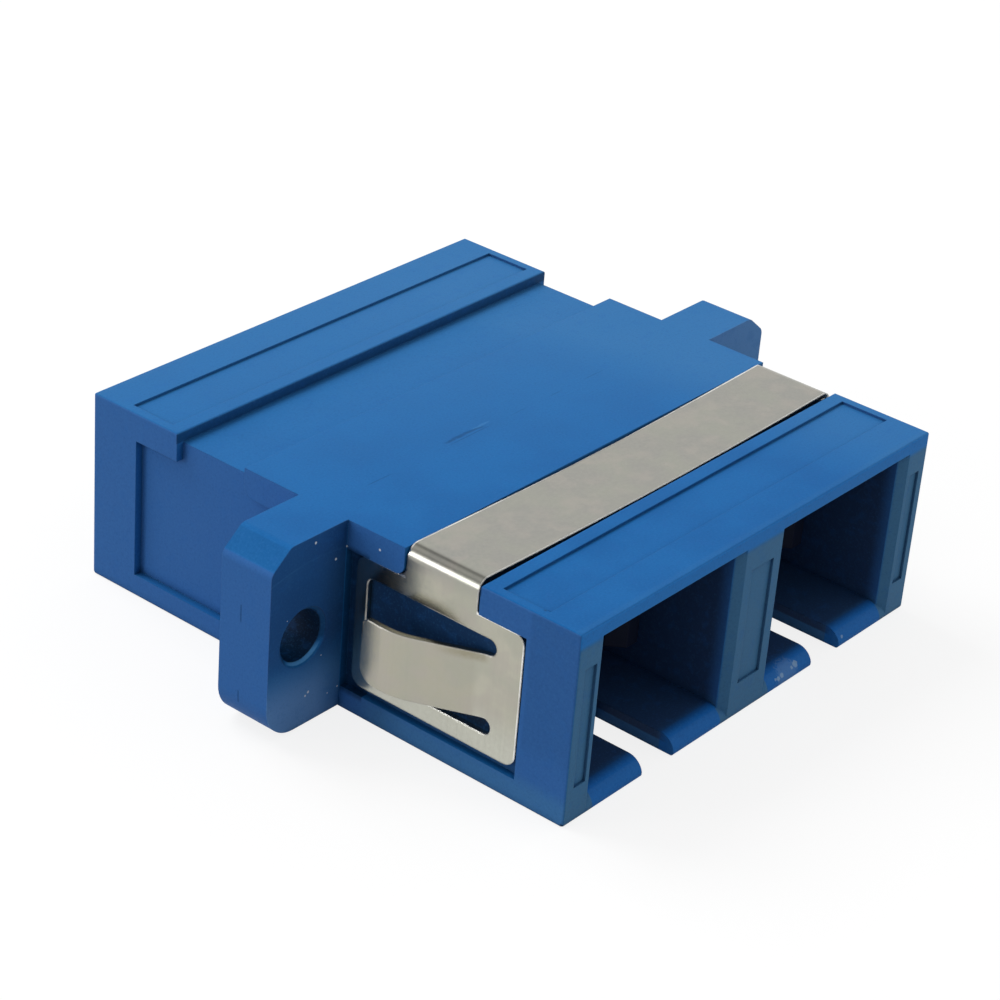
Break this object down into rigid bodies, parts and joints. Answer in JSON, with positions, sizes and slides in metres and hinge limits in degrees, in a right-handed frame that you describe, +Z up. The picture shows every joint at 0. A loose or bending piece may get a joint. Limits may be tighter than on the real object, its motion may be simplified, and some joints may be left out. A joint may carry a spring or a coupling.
{
  "type": "duplex sc fibre adapter",
  "caption": "Duplex SC fibre-optic adapter: joins plugs through a panel, with a flanged moulded housing, screw ears, a snap-in spring clip and ceramic alignment sleeves inside.",
  "frame": {"origin": "on the bottom face, under the middle of the flange", "axes": "+X across the two ports, -Y out of the front ports, +Z up; the keyways are at the bottom"},
  "size_m": [0.0348, 0.0284, 0.0095],
  "materials": {
    "housing": "moulded, fine matte texture",
    "holder": "moulded",
    "sleeve": "ground ceramic",
    "clip": "rolled stainless sheet"
  },
  "bodies": {
    "root": {"front_housing": "housing", "rear_housing": "housing", "front_holder_left": "holder", "front_holder_right": "holder", "rear_holder_left": "holder", "rear_holder_right": "holder", "split_sleeve_left": "sleeve", "split_sleeve_right": "sleeve", "mounting_clip": "clip"}
  },
  "joints": []
}
